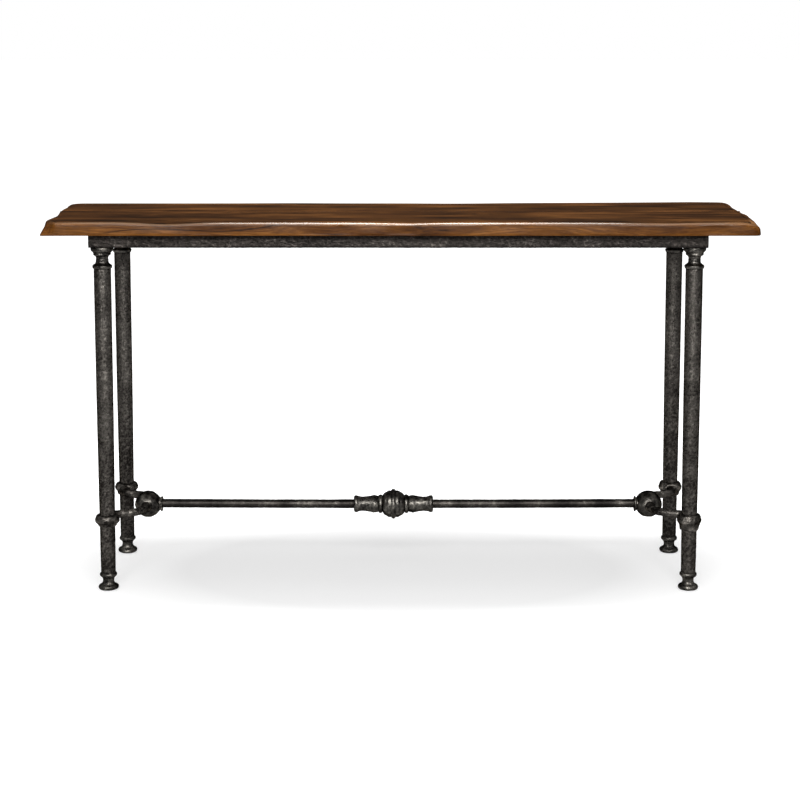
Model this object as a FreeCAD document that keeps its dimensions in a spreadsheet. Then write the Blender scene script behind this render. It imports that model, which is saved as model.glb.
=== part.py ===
"""Console table: a live-edge walnut slab on a black iron base.

Millimetres, +Z up. The origin is on the floor under the middle of the table's bounding box:
+X runs along the table, and the front of the table looks along -Y.
Every piece of the real table is an object of its own, and each is written to parts/LABEL.step.
"""
import FreeCAD, Part
import Sketcher
import math
import os

Vector = FreeCAD.Vector

# ---------------------------------------------------------------------------- driving sizes
SIZES = [
    # whole table
    ("table_height", 815.5),
    ("top_thickness", 28),
    ("top_half_length", 765),
    ("top_front", 217),
    ("top_rear", 213),
    ("rear_swell", 39),
    ("glue_line", 24),
    ("arris_chamfer", 2.5),
    ("tight_corner_radius", 14),
    ("wide_corner_radius", 30),
    ("leg_spacing", 1270),
    ("leg_depth", 283),
    ("base_x", -6),
    ("base_y", -16.5),
    # rectangular tube frame under the top
    ("rail_width", 50.8),
    ("rail_height", 32),
    ("rail_wall", 2.5),
    # turned legs
    ("foot_lift", 1),
    ("column_foot_height", 38.5),
    ("column_low_height", 210),
    ("column_mid_height", 425),
    ("column_top_height", 709),
    ("column_foot_radius", 15.9),
    ("column_low_radius", 17.3),
    ("column_mid_radius", 18.2),
    ("column_top_radius", 18.5),
    ("column_bore_radius", 12),
    ("spigot_length", 15),
    ("spigot_play", 0.1),
    # mouldings of the capital
    ("astragal_radius", 18.9),
    ("astragal_bead", 4.8),
    ("astragal_height", 10.2),
    ("astragal_top_radius", 17.2),
    ("astragal_edge", 1.5),
    ("neck_radius", 13.8),
    ("neck_height", 19.5),
    ("bell_radius", 19.2),
    ("bell_height", 31),
    ("fillet_radius", 20.4),
    ("fillet_base_height", 33.5),
    ("fillet_height", 35),
    ("abacus_radius", 24.2),
    ("abacus_height", 41),
    ("neck_cove", 15),
    ("bell_cove", 14),
    ("abacus_round", 6),
    # mouldings of the foot
    ("foot_base_radius", 18),
    ("foot_disc_radius", 22),
    ("foot_disc_height", 4),
    ("foot_flare_radius", 18.4),
    ("foot_flare_height", 10),
    ("foot_step_radius", 15.6),
    ("foot_neck_radius", 12.3),
    ("foot_neck_height", 20.5),
    ("foot_ring_radius", 16.6),
    ("foot_ring_bead", 4.6),
    ("foot_ring_height", 28.5),
    ("foot_ring_edge", 1.2),
    ("foot_toe_round", 6),
    ("foot_disc_round", 7),
    ("foot_step_height", 11),
    ("foot_flare_cove", 14),
    ("foot_neck_cove", 9),
    ("glide_radius", 14),
    ("glide_recess", 2),
    ("nut_pocket_radius", 8.5),
    ("nut_pocket_height", 15),
    # collars that carry the stretcher
    ("stretcher_height", 153.5),
    ("collar_bottom_height", 137),
    ("collar_shoulder_height", 152),
    ("collar_top_height", 169),
    ("collar_radius", 26.4),
    ("collar_cup_radius", 19.2),
    ("collar_lip_radius", 20),
    ("collar_cup_hollow", 60),
    ("collar_shoulder_length", 8),
    ("collar_shoulder_round", 9),
    ("collar_dome_round", 11),
    # S-shaped arms
    ("arm_radius", 8.8),
    ("arm_grip", 19.6),
    ("arm_straight", 38),
    ("arm_leg_bend", 18),
    ("arm_ball_bend", 42),
    ("arm_swing", 61),
    ("arm_ball_depth", 20),
    ("ball_inset", 70),
    ("ball_radius", 30),
    # long stretcher
    ("bar_radius", 10),
    ("boss_neck_radius", 14.7),
    ("boss_flange_radius", 17.2),
    ("boss_flange_length", 3.2),
    ("boss_length", 6),
    # turned ornament threaded on the long stretcher
    ("ornament_x", -11),
    ("band_half_width", 5),
    ("band_radius", 33.5),
    ("band_crown", 2.8),
    ("band_crown_radius", 6),
    ("orb_radius", 30),
    ("orb_half_length", 24.5),
    ("orb_curve", 27),
    ("orb_end_radius", 19),
    ("bead_length", 9.5),
    ("bead_edge_radius", 17.5),
    ("bead_curve", 5.2),
    ("ornament_half_length", 88.4),
    ("baluster_belly_radius", 19.8),
    ("baluster_waist_radius", 16),
    ("baluster_lip_radius", 19),
    ("baluster_belly_length", 12),
    ("baluster_belly_round", 34),
    ("baluster_waist_from_end", 20),
    ("baluster_waist_hollow", 85),
    ("baluster_mouth_from_end", 8),
    ("baluster_mouth_hollow", 40),
    ("baluster_rim_from_end", 5),
    ("baluster_rim_round", 5),
    ("baluster_rim_step", 1),
    # fasteners
    ("rod_radius", 4),
    ("rod_hole_radius", 4.3),
    ("rod_end_clearance", 5),
    ("nut_height", 6.5),
    ("nut_corner_radius", 7.5),
    ("washer_radius", 8),
    ("washer_thickness", 1.6),
    ("screw_radius", 2.25),
    ("screw_head_radius", 5),
    ("screw_head_height", 3.2),
    ("screw_length", 22),
    ("screw_access_radius", 6.5),
    ("side_screw_y", 30),
    ("long_rail_screw_spacing", 560),
    ("bolt_head_radius", 6.5),
    ("bolt_head_height", 8),
    ("bolt_socket_radius", 3),
    ("bolt_socket_depth", 4),
    ("bolt_pocket_radius", 7.2),
    ("bolt_pocket_depth", 10),
    ("bolt_thread_length", 25),
]

CORNERS = {"front_left": (-1, -1), "front_right": (1, -1), "rear_left": (-1, 1), "rear_right": (1, 1)}
SIDES = {"left": -1, "right": 1}

doc = FreeCAD.newDocument("console_table")
sheet = doc.addObject("Spreadsheet::Sheet", "Sizes")
for row, (alias, millimetres) in enumerate(SIZES, start=1):
    sheet.set(f"A{row}", alias)
    sheet.set(f"B{row}", str(millimetres))
    sheet.setAlias(f"B{row}", alias)
doc.recompute()

parts = []


def value(expression):
    """The number that an expression of the sheet stands for."""
    result = sheet.evalExpression(str(expression))
    return float(getattr(result, "Value", result))


def keep(piece, label):
    """Name a finished sub-part and put it on the list of those that are written out."""
    piece.Label = label
    parts.append(piece)
    return piece


def place(piece, x="0", y="0", z="0", turn=None):
    """Put a piece at three expressions of the sheet, turned about an axis by an angle first."""
    if turn:
        piece.Placement = FreeCAD.Placement(Vector(), FreeCAD.Rotation(Vector(*turn[0]), turn[1]))
    for letter, expression in zip("xyz", (x, y, z)):
        piece.setExpression(f"Placement.Base.{letter}", expression)
    return piece


def new_sketch(body, name, plane="XY_Plane", lift=None):
    """A sketch on one of the body's own origin planes, moved along its normal by an expression."""
    sketch = body.newObject("Sketcher::SketchObject", name)
    support = [feature for feature in body.Origin.OriginFeatures if feature.Role == plane][0]
    sketch.AttachmentSupport = (support, [""])
    sketch.MapMode = "FlatFace"
    if lift is not None:
        sketch.setExpression("AttachmentOffset.Base.z", lift)
    return sketch


def bind(sketch, kind, arguments, expression):
    """Add a sketch constraint whose size follows an expression of the sheet."""
    index = sketch.addConstraint(Sketcher.Constraint(kind, *arguments, value(expression)))
    sketch.setExpression(f"Constraints[{index}]", expression)


def arc_through(start, end, radius, side):
    """The shorter arc of a radius between two points: side 1 has its centre left of the way."""
    along = end - start
    left = Vector(-along.y, along.x, 0).normalize()
    reach = math.sqrt(max(radius**2 - (along.Length / 2) ** 2, 0))
    middle = (start + end) * 0.5 - left * side * (radius - reach)
    return Part.Arc(start, middle, end)


def draw_path(sketch, steps, closed=True):
    """Draw a path whose corners and arc radii all follow expressions.

    Each step is (across, up), the next corner, or (across, up, bend, radius): bend is "bulge" for
    an arc with its centre left of the way, and "hollow" for one with its centre right of it."""
    corners = [Vector(value(step[0]), value(step[1]), 0) for step in steps]
    links = list(range(1, len(steps))) + ([0] if closed else [])
    for target in links:
        step = steps[target]
        start, end = corners[target - 1], corners[target]
        if len(step) == 4:
            side = 1 if step[2] == "bulge" else -1
            edge = sketch.addGeometry(arc_through(start, end, value(step[3]), side))
            bind(sketch, "Radius", (edge,), step[3])
        else:
            edge = sketch.addGeometry(Part.LineSegment(start, end))
        first = 1 if (sketch.getPoint(edge, 1) - start).Length < 1e-6 else 2
        for point, corner in ((first, steps[target - 1]), (3 - first, step)):
            bind(sketch, "DistanceX", (-1, 1, edge, point), corner[0])
            bind(sketch, "DistanceY", (-1, 1, edge, point), corner[1])


def new_body(label):
    return doc.addObject("PartDesign::Body", label)


def turned(label, steps):
    """A lathe-turned piece: the closed half profile (radius, height) goes round the Z axis."""
    body = new_body(label)
    profile = new_sketch(body, label + "_profile", "XZ_Plane")
    draw_path(profile, steps)
    spin = body.newObject("PartDesign::Revolution", label + "_turning")
    spin.Profile = profile
    spin.ReferenceAxis = (profile, ["V_Axis"])
    spin.Angle = 360
    body.Tip = spin
    body.Label = label
    return body


def group(label, pieces):
    """Like fasteners that share one node, as separate solids."""
    compound = doc.addObject("Part::Compound", label)
    compound.Links = pieces
    return keep(compound, label)


def leg_place(corner):
    """Where a leg's axis stands: half a spacing either way from the middle of the base."""
    across, along = CORNERS[corner]
    return (f"Sizes.base_x + {across} * Sizes.leg_spacing / 2",
            f"Sizes.base_y + {along} * Sizes.leg_depth / 2")


# ------------------------------------------------------------------ slab top, two glued boards
def live_edge(start, end, wander):
    """A natural edge of the slab: a smooth curve that strays outwards from the straight line
    between two corners by the hand-chosen amounts, evenly spaced. The slab lies on the left."""
    run = end - start
    outwards = Vector(run.y, -run.x, 0).normalize()
    share = 1 / (len(wander) + 1)
    points = [start + run * share * (index + 1) + outwards * stray
              for index, stray in enumerate(wander)]
    curve = Part.BSplineCurve()
    curve.interpolate([start] + points + [end])
    return curve


def board(label, edges, corner_radii, screws):
    """One plank: a pad of its outline, rounded corners, an eased top arris and pilot holes."""
    body = new_body(label)
    outline = new_sketch(body, label + "_outline")
    for edge in edges:
        outline.addGeometry(edge)
    plank = body.newObject("PartDesign::Pad", label + "_plank")
    plank.Profile = outline
    plank.setExpression("Length", "Sizes.top_thickness")
    doc.recompute()
    last = plank
    for number, (corner, radius) in enumerate(corner_radii):
        upright = [f"Edge{index}" for index, edge in enumerate(last.Shape.Edges, start=1)
                   if (edge.CenterOfMass - corner).Length < value("Sizes.top_thickness")
                   and edge.BoundBox.ZLength > value("Sizes.top_thickness") - 0.01]
        rounding = body.newObject("PartDesign::Fillet", f"{label}_corner_{number}")
        rounding.Base = (last, upright)
        rounding.setExpression("Radius", radius)
        doc.recompute()
        last = rounding
    glued = value("Sizes.glue_line")
    arris = [f"Edge{index}" for index, edge in enumerate(last.Shape.Edges, start=1)
             if edge.BoundBox.ZMin > value("Sizes.top_thickness") - 0.01
             and abs(edge.CenterOfMass.y - glued) > 1]
    ease = body.newObject("PartDesign::Chamfer", label + "_arris")
    ease.Base = (last, arris)
    ease.setExpression("Size", "Sizes.arris_chamfer")
    doc.recompute()
    pilots = new_sketch(body, label + "_pilot_holes")
    draw_holes(pilots, screws, "Sizes.screw_radius")
    drill = body.newObject("PartDesign::Pocket", label + "_pilots")
    drill.Profile = pilots
    drill.Reversed = True
    drill.setExpression("Length", "Sizes.screw_length - Sizes.rail_wall")
    body.Tip = drill
    doc.recompute()
    if drill.Shape.Volume > ease.Shape.Volume - 1:
        raise RuntimeError(f"the pilot holes of {label} cut nothing")
    place(body, "Sizes.base_x", "Sizes.base_y", "Sizes.table_height - Sizes.top_thickness")
    return keep(body, label)


def draw_holes(sketch, centres, radius):
    """Circles at pairs of expressions, all of one radius."""
    for across, along in centres:
        centre = Vector(value(across), value(along), 0)
        circle = sketch.addGeometry(Part.Circle(centre, Vector(0, 0, 1), value(radius)))
        bind(sketch, "Radius", (circle,), radius)
        bind(sketch, "DistanceX", (-1, 1, circle, 3), across)
        bind(sketch, "DistanceY", (-1, 1, circle, 3), along)


# The screws stand on the middle lines of the rails: three to a long rail, one to a short one.
LONG_RAIL_SCREWS = [f"{step} * Sizes.long_rail_screw_spacing" for step in (-1, 0, 1)]
FRONT_SCREWS = [(across, "-Sizes.leg_depth / 2") for across in LONG_RAIL_SCREWS]
REAR_SCREWS = [(across, "Sizes.leg_depth / 2") for across in LONG_RAIL_SCREWS]
END_SCREWS = [(f"{side} * Sizes.leg_spacing / 2", "-Sizes.side_screw_y") for side in SIDES.values()]

half_length = value("Sizes.top_half_length")
front_line = -value("Sizes.top_front")
rear_line = value("Sizes.top_rear")
glue_line = value("Sizes.glue_line")
glue_left = Vector(-half_length + 8, glue_line, 0)
glue_right = Vector(half_length + 1, glue_line, 0)
front_left_corner = Vector(-half_length + 7, front_line, 0)
front_right_corner = Vector(half_length - 1, front_line + 1, 0)
rear_right_corner = Vector(half_length + 12, rear_line + value("Sizes.rear_swell"), 0)
rear_left_corner = Vector(-half_length + 2, rear_line - 1, 0)

board("top_board_front", [
    live_edge(glue_left, front_left_corner, [-5, -8, -5, -1.5]),
    live_edge(front_left_corner, front_right_corner,
              [-1, 2, -1, -2, 0, 0, 2, -1, -1.5, 2, 0.5]),
    live_edge(front_right_corner, glue_right, [0, 1.5, 4, 6.5]),
    Part.LineSegment(glue_right, glue_left),
], [
    (front_left_corner, "Sizes.tight_corner_radius"),
    (front_right_corner, "Sizes.tight_corner_radius * 1.5"),
], FRONT_SCREWS + END_SCREWS)

board("top_board_rear", [
    live_edge(glue_right, rear_right_corner, [1.5, -1, 1]),
    live_edge(rear_right_corner, rear_left_corner,
              [-7, -13, -16, -19, -27, -19, -15, -7, -8, -6, -2]),
    live_edge(rear_left_corner, glue_left, [2, -0.5, 1.5]),
    Part.LineSegment(glue_left, glue_right),
], [
    (rear_right_corner, "Sizes.wide_corner_radius"),
    (rear_left_corner, "Sizes.wide_corner_radius"),
], REAR_SCREWS)


# ------------------------------------------------- frame of rectangular tube under the boards
def rail(label, length, x, y, turn, rod_holes, screw_holes):
    """A length of rectangular tube: rod holes in its lower wall, and for each screw a way in
    through the lower wall and a clearance hole in the upper one. The holes are (along, across)."""
    body = new_body(label)
    section = new_sketch(body, label + "_section", "YZ_Plane")
    outside = [("-Sizes.rail_width / 2", "0"), ("Sizes.rail_width / 2", "0"),
               ("Sizes.rail_width / 2", "Sizes.rail_height"),
               ("-Sizes.rail_width / 2", "Sizes.rail_height")]
    inside = [("-Sizes.rail_width / 2 + Sizes.rail_wall", "Sizes.rail_wall"),
              ("Sizes.rail_width / 2 - Sizes.rail_wall", "Sizes.rail_wall"),
              ("Sizes.rail_width / 2 - Sizes.rail_wall", "Sizes.rail_height - Sizes.rail_wall"),
              ("-Sizes.rail_width / 2 + Sizes.rail_wall", "Sizes.rail_height - Sizes.rail_wall")]
    draw_path(section, outside)
    draw_path(section, inside)
    tube = body.newObject("PartDesign::Pad", label + "_tube")
    tube.Profile = section
    tube.setExpression("Length", length)
    doc.recompute()
    last = tube
    drillings = [("way_in", screw_holes, "Sizes.screw_access_radius", "Sizes.rail_wall"),
                 ("clearance", screw_holes, "Sizes.screw_radius", "Sizes.rail_height"),
                 ("rods", rod_holes, "Sizes.rod_hole_radius", "Sizes.rail_wall")]
    for name, centres, radius, height in drillings:
        if not centres:
            continue
        holes = new_sketch(body, f"{label}_{name}", "XY_Plane", height)
        draw_holes(holes, centres, radius)
        drill = body.newObject("PartDesign::Pocket", f"{label}_{name}_holes")
        drill.Profile = holes
        drill.setExpression("Length", "Sizes.rail_wall")
        doc.recompute()
        if drill.Shape.Volume > last.Shape.Volume - 1:
            raise RuntimeError(f"the {name} holes of {label} cut nothing")
        last = drill
    body.Tip = last
    place(body, x, y, "Sizes.table_height - Sizes.top_thickness - Sizes.rail_height",
          ((0, 0, 1), turn))
    return keep(body, label)


LONG_RAIL = "(Sizes.leg_spacing + Sizes.rail_width)"
SHORT_RAIL = "(Sizes.leg_depth - Sizes.rail_width)"
for label, row in (("rail_front", -1), ("rail_rear", 1)):
    rods = [("Sizes.rail_width / 2", "0"), (f"{LONG_RAIL} - Sizes.rail_width / 2", "0")]
    screws = [(f"{LONG_RAIL} / 2 + {across}", "0") for across in LONG_RAIL_SCREWS]
    rail(label, LONG_RAIL, f"Sizes.base_x - {LONG_RAIL} / 2",
         f"Sizes.base_y + {row} * Sizes.leg_depth / 2", 0, rods, screws)
for label, side in SIDES.items():
    screws = [(f"{SHORT_RAIL} / 2 - Sizes.side_screw_y", "0")]
    rail(f"rail_{label}", SHORT_RAIL, f"Sizes.base_x + {side} * Sizes.leg_spacing / 2",
         f"Sizes.base_y - {SHORT_RAIL} / 2", 90, [], screws)

# Plates welded into the four open ends of the long rails, flush with the tube.
caps = []
for corner, (across, along) in CORNERS.items():
    plate = doc.addObject("Part::Box", f"{corner}_rail_cap")
    plate.setExpression("Length", "Sizes.rail_wall")
    plate.setExpression("Width", "Sizes.rail_width - 2 * Sizes.rail_wall")
    plate.setExpression("Height", "Sizes.rail_height - 2 * Sizes.rail_wall")
    place(plate,
          f"Sizes.base_x + {across} * ({LONG_RAIL} - Sizes.rail_wall) / 2 - Sizes.rail_wall / 2",
          f"Sizes.base_y + {along} * Sizes.leg_depth / 2 - Sizes.rail_width / 2 + Sizes.rail_wall",
          "Sizes.table_height - Sizes.top_thickness - Sizes.rail_height + Sizes.rail_wall")
    caps.append(plate)
group("rail_end_caps", caps)


# ----------------------------------------------------------------------------- turned legs
RAIL_BOTTOM = "(Sizes.table_height - Sizes.top_thickness - Sizes.rail_height)"
SPIGOT_RADIUS = "Sizes.column_bore_radius - Sizes.spigot_play"
CAPITAL_LENGTH = f"({RAIL_BOTTOM} - Sizes.column_top_height)"
FOOT_LENGTH = "(Sizes.column_foot_height - Sizes.foot_lift)"

COLUMN = [
    ("Sizes.column_bore_radius", "Sizes.column_foot_height"),
    ("Sizes.column_foot_radius", "Sizes.column_foot_height"),
    ("Sizes.column_low_radius", "Sizes.column_low_height"),
    ("Sizes.column_mid_radius", "Sizes.column_mid_height"),
    ("Sizes.column_top_radius", "Sizes.column_top_height"),
    ("Sizes.column_bore_radius", "Sizes.column_top_height"),
]
CAPITAL = [
    ("Sizes.rod_hole_radius", "-Sizes.spigot_length"),
    (SPIGOT_RADIUS, "-Sizes.spigot_length"),
    (SPIGOT_RADIUS, "0"),
    ("Sizes.astragal_radius", "0"),
    ("Sizes.astragal_radius", "Sizes.astragal_edge"),
    ("Sizes.astragal_top_radius", "Sizes.astragal_height", "bulge", "Sizes.astragal_bead"),
    ("Sizes.neck_radius", "Sizes.neck_height", "hollow", "Sizes.neck_cove"),
    ("Sizes.bell_radius", "Sizes.bell_height", "hollow", "Sizes.bell_cove"),
    ("Sizes.fillet_radius", "Sizes.fillet_base_height"),
    ("Sizes.fillet_radius", "Sizes.fillet_height"),
    ("Sizes.abacus_radius", "Sizes.abacus_height", "bulge", "Sizes.abacus_round"),
    ("Sizes.abacus_radius", CAPITAL_LENGTH),
    ("Sizes.rod_hole_radius", CAPITAL_LENGTH),
]
FOOT = [
    ("Sizes.nut_pocket_radius", "Sizes.glide_recess"),
    ("Sizes.glide_radius", "Sizes.glide_recess"),
    ("Sizes.glide_radius", "0"),
    ("Sizes.foot_base_radius", "0"),
    ("Sizes.foot_disc_radius", "Sizes.foot_disc_height", "bulge", "Sizes.foot_toe_round"),
    ("Sizes.foot_flare_radius", "Sizes.foot_flare_height", "bulge", "Sizes.foot_disc_round"),
    ("Sizes.foot_step_radius", "Sizes.foot_step_height"),
    ("Sizes.foot_neck_radius", "Sizes.foot_neck_height", "hollow", "Sizes.foot_flare_cove"),
    ("Sizes.foot_ring_radius", "Sizes.foot_ring_height", "hollow", "Sizes.foot_neck_cove"),
    ("Sizes.foot_ring_radius", f"{FOOT_LENGTH} - Sizes.foot_ring_edge", "bulge",
     "Sizes.foot_ring_bead"),
    ("Sizes.foot_ring_radius", FOOT_LENGTH),
    (SPIGOT_RADIUS, FOOT_LENGTH),
    (SPIGOT_RADIUS, f"{FOOT_LENGTH} + Sizes.spigot_length"),
    ("Sizes.rod_hole_radius", f"{FOOT_LENGTH} + Sizes.spigot_length"),
    ("Sizes.rod_hole_radius", "Sizes.nut_pocket_height"),
    ("Sizes.nut_pocket_radius", "Sizes.nut_pocket_height"),
]
GLIDE = [
    ("0", "0"),
    ("Sizes.glide_radius", "0"),
    ("Sizes.glide_radius", "Sizes.foot_lift + Sizes.glide_recess"),
    ("Sizes.nut_pocket_radius", "Sizes.foot_lift + Sizes.glide_recess"),
    ("Sizes.nut_pocket_radius", "Sizes.rod_end_clearance"),
    ("0", "Sizes.rod_end_clearance"),
]


def column_radius_at(height):
    """Radius of the tapering column below its low mark, so that a collar fits it."""
    share = (f"({height} - Sizes.column_foot_height)"
             " / (Sizes.column_low_height - Sizes.column_foot_height)")
    return (f"Sizes.column_foot_radius"
            f" + (Sizes.column_low_radius - Sizes.column_foot_radius) * {share}")


# A forged cup: a straight taper below the shoulder and a round one above it.
COLLAR = [
    (column_radius_at("Sizes.collar_bottom_height"), "Sizes.collar_bottom_height"),
    ("Sizes.collar_cup_radius", "Sizes.collar_bottom_height"),
    ("Sizes.collar_radius", "Sizes.collar_shoulder_height", "hollow",
     "Sizes.collar_cup_hollow"),
    ("Sizes.collar_radius", "Sizes.collar_shoulder_height + Sizes.collar_shoulder_length",
     "bulge", "Sizes.collar_shoulder_round"),
    ("Sizes.collar_lip_radius", "Sizes.collar_top_height", "bulge",
     "Sizes.collar_dome_round"),
    (column_radius_at("Sizes.collar_top_height"), "Sizes.collar_top_height"),
]
collars = {}
for corner in CORNERS:
    leg_x, leg_y = leg_place(corner)
    keep(place(turned(f"{corner}_column", COLUMN), leg_x, leg_y), f"{corner}_column")
    keep(place(turned(f"{corner}_capital", CAPITAL), leg_x, leg_y, "Sizes.column_top_height"),
         f"{corner}_capital")
    keep(place(turned(f"{corner}_foot", FOOT), leg_x, leg_y, "Sizes.foot_lift"),
         f"{corner}_foot")
    keep(place(turned(f"{corner}_glide", GLIDE), leg_x, leg_y), f"{corner}_glide")
    collars[corner] = place(turned(f"{corner}_collar", COLLAR), leg_x, leg_y)
    keep(collars[corner], f"{corner}_collar")


# ------------------------------------------------------------------- balls and long stretcher
BALL_FLAT = "sqrt(Sizes.ball_radius ^ 2 - Sizes.boss_neck_radius ^ 2)"
BOLT_MOUTH = "-sqrt(Sizes.ball_radius ^ 2 - Sizes.bolt_pocket_radius ^ 2)"
POCKET_FLOOR = f"({BOLT_MOUTH} + Sizes.bolt_pocket_depth)"
BALL = [
    ("Sizes.bolt_pocket_radius", POCKET_FLOOR),
    ("Sizes.bolt_pocket_radius", BOLT_MOUTH),
    ("Sizes.ball_radius", "0", "bulge", "Sizes.ball_radius"),
    ("Sizes.boss_neck_radius", BALL_FLAT, "bulge", "Sizes.ball_radius"),
    ("Sizes.rod_radius", BALL_FLAT),
    ("Sizes.rod_radius", POCKET_FLOOR),
]
BOSS = [
    ("Sizes.bar_radius", "0"),
    ("Sizes.boss_neck_radius", "0"),
    ("Sizes.boss_neck_radius", "Sizes.boss_length - Sizes.boss_flange_length"),
    ("Sizes.boss_flange_radius", "Sizes.boss_length - Sizes.boss_flange_length"),
    ("Sizes.boss_flange_radius", "Sizes.boss_length"),
    ("Sizes.bar_radius", "Sizes.boss_length"),
]
BALL_LINE = "(Sizes.leg_spacing / 2 - Sizes.ball_inset)"
balls = {}
for label, side in SIDES.items():
    inwards = ((0, 1, 0), -90 * side)
    balls[label] = place(turned(f"{label}_ball", BALL),
                         f"Sizes.base_x + {side} * {BALL_LINE}", "Sizes.base_y",
                         "Sizes.stretcher_height", inwards)
    keep(balls[label], f"{label}_ball")
    keep(place(turned(f"{label}_boss", BOSS),
               f"Sizes.base_x + {side} * ({BALL_LINE} - {BALL_FLAT})", "Sizes.base_y",
               "Sizes.stretcher_height", inwards),
         f"{label}_boss")

BAR_HALF = f"({BALL_LINE} - {BALL_FLAT})"
THREAD = "Sizes.bolt_thread_length"
BAR = [
    ("0", f"-{BAR_HALF} + {THREAD}"),
    ("Sizes.rod_radius", f"-{BAR_HALF} + {THREAD}"),
    ("Sizes.rod_radius", f"-{BAR_HALF}"),
    ("Sizes.bar_radius", f"-{BAR_HALF}"),
    ("Sizes.bar_radius", BAR_HALF),
    ("Sizes.rod_radius", BAR_HALF),
    ("Sizes.rod_radius", f"{BAR_HALF} - {THREAD}"),
    ("0", f"{BAR_HALF} - {THREAD}"),
]
keep(place(turned("stretcher_bar", BAR), "Sizes.base_x", "Sizes.base_y",
           "Sizes.stretcher_height", ((0, 1, 0), 90)), "stretcher_bar")


# --------------------------------------------------- turned ornament, threaded on the long bar
BEAD_START = "Sizes.orb_half_length"
BEAD_END = "(Sizes.orb_half_length + Sizes.bead_length)"
BAND = [
    ("Sizes.bar_radius", "-Sizes.band_half_width"),
    ("Sizes.band_radius - Sizes.band_crown", "-Sizes.band_half_width"),
    ("Sizes.band_radius", "0", "bulge", "Sizes.band_crown_radius"),
    ("Sizes.band_radius - Sizes.band_crown", "Sizes.band_half_width", "bulge",
     "Sizes.band_crown_radius"),
    ("Sizes.bar_radius", "Sizes.band_half_width"),
]
ORB_HALF = [
    ("Sizes.bar_radius", "Sizes.band_half_width"),
    ("Sizes.orb_radius", "Sizes.band_half_width"),
    ("Sizes.orb_end_radius", BEAD_START, "bulge", "Sizes.orb_curve"),
    ("Sizes.bar_radius", BEAD_START),
]
BEAD = [
    ("Sizes.bar_radius", BEAD_START),
    ("Sizes.bead_edge_radius", BEAD_START),
    ("Sizes.bead_edge_radius", BEAD_END, "bulge", "Sizes.bead_curve"),
    ("Sizes.bar_radius", BEAD_END),
]
ORNAMENT_END = "Sizes.ornament_half_length"
BALUSTER = [
    ("Sizes.bar_radius", BEAD_END),
    ("Sizes.bead_edge_radius", BEAD_END),
    ("Sizes.baluster_belly_radius", f"{BEAD_END} + Sizes.baluster_belly_length", "bulge",
     "Sizes.baluster_belly_round"),
    ("Sizes.baluster_waist_radius", f"{ORNAMENT_END} - Sizes.baluster_waist_from_end",
     "hollow", "Sizes.baluster_waist_hollow"),
    ("Sizes.baluster_lip_radius - Sizes.baluster_rim_step",
     f"{ORNAMENT_END} - Sizes.baluster_mouth_from_end", "hollow",
     "Sizes.baluster_mouth_hollow"),
    ("Sizes.baluster_lip_radius", f"{ORNAMENT_END} - Sizes.baluster_rim_from_end"),
    ("Sizes.baluster_lip_radius - Sizes.baluster_rim_step", ORNAMENT_END, "bulge",
     "Sizes.baluster_rim_round"),
    ("Sizes.bar_radius", ORNAMENT_END),
]
ORNAMENT_X = "Sizes.base_x + Sizes.ornament_x"
keep(place(turned("orb_band", BAND), ORNAMENT_X, "Sizes.base_y", "Sizes.stretcher_height",
           ((0, 1, 0), 90)), "orb_band")
for label, side in SIDES.items():
    for name, steps in (("orb_half", ORB_HALF), ("bead", BEAD), ("baluster", BALUSTER)):
        keep(place(turned(f"{label}_{name}", steps), ORNAMENT_X, "Sizes.base_y",
                   "Sizes.stretcher_height", ((0, 1, 0), 90 * side)), f"{label}_{name}")


# --------------------------------------------------------------- S-shaped arms, leg to ball
def arm(corner):
    """Round bar bent in plan: out of the collar, inwards, and back in line into the ball. Its
    ends are coped to the collar and the ball that they are welded to."""
    across, along = CORNERS[corner]
    ball = balls["left" if across < 0 else "right"]
    turn = "Sizes.arm_swing"
    leg_bend_in = f"Sizes.arm_leg_bend * (1 - cos({turn} * 1 deg))"
    leg_bend_out = f"Sizes.arm_straight + Sizes.arm_leg_bend * sin({turn} * 1 deg)"
    ball_bend_in = f"Sizes.ball_inset - Sizes.arm_ball_bend * (1 - cos({turn} * 1 deg))"
    slant = f"(({ball_bend_in}) - ({leg_bend_in})) / tan({turn} * 1 deg)"
    ball_bend_out = f"{leg_bend_out} + {slant}"
    last_bend_out = f"{ball_bend_out} + Sizes.arm_ball_bend * sin({turn} * 1 deg)"
    ball_end = "Sizes.leg_depth / 2 - Sizes.arm_ball_depth"
    first, second = ("hollow", "bulge") if across * along > 0 else ("bulge", "hollow")
    blank = new_body(f"{corner}_arm_blank")
    path = new_sketch(blank, f"{corner}_arm_path")
    route = [
        ("0", f"{-along} * Sizes.arm_grip"),
        ("0", f"{-along} * Sizes.arm_straight"),
        (f"{-across} * {leg_bend_in}", f"{-along} * ({leg_bend_out})", first,
         "Sizes.arm_leg_bend"),
        (f"{-across} * ({ball_bend_in})", f"{-along} * ({ball_bend_out})"),
        (f"{-across} * Sizes.ball_inset", f"{-along} * ({last_bend_out})", second,
         "Sizes.arm_ball_bend"),
        (f"{-across} * Sizes.ball_inset", f"{-along} * ({ball_end})"),
    ]
    draw_path(path, route, closed=False)
    section = new_sketch(blank, f"{corner}_arm_section", "XZ_Plane", f"{along} * Sizes.arm_grip")
    draw_holes(section, [("0", "0")], "Sizes.arm_radius")
    pipe = blank.newObject("PartDesign::AdditivePipe", f"{corner}_arm_pipe")
    pipe.Profile = section
    pipe.Spine = (path, [])
    blank.Tip = pipe
    leg_x, leg_y = leg_place(corner)
    place(blank, leg_x, leg_y, "Sizes.stretcher_height")
    coped = doc.addObject("Part::Cut", f"{corner}_arm_coped_to_collar")
    coped.Base = blank
    coped.Tool = collars[corner]
    finished = doc.addObject("Part::Cut", f"{corner}_arm")
    finished.Base = coped
    finished.Tool = ball
    return keep(finished, f"{corner}_arm")


for corner in CORNERS:
    arm(corner)


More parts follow.
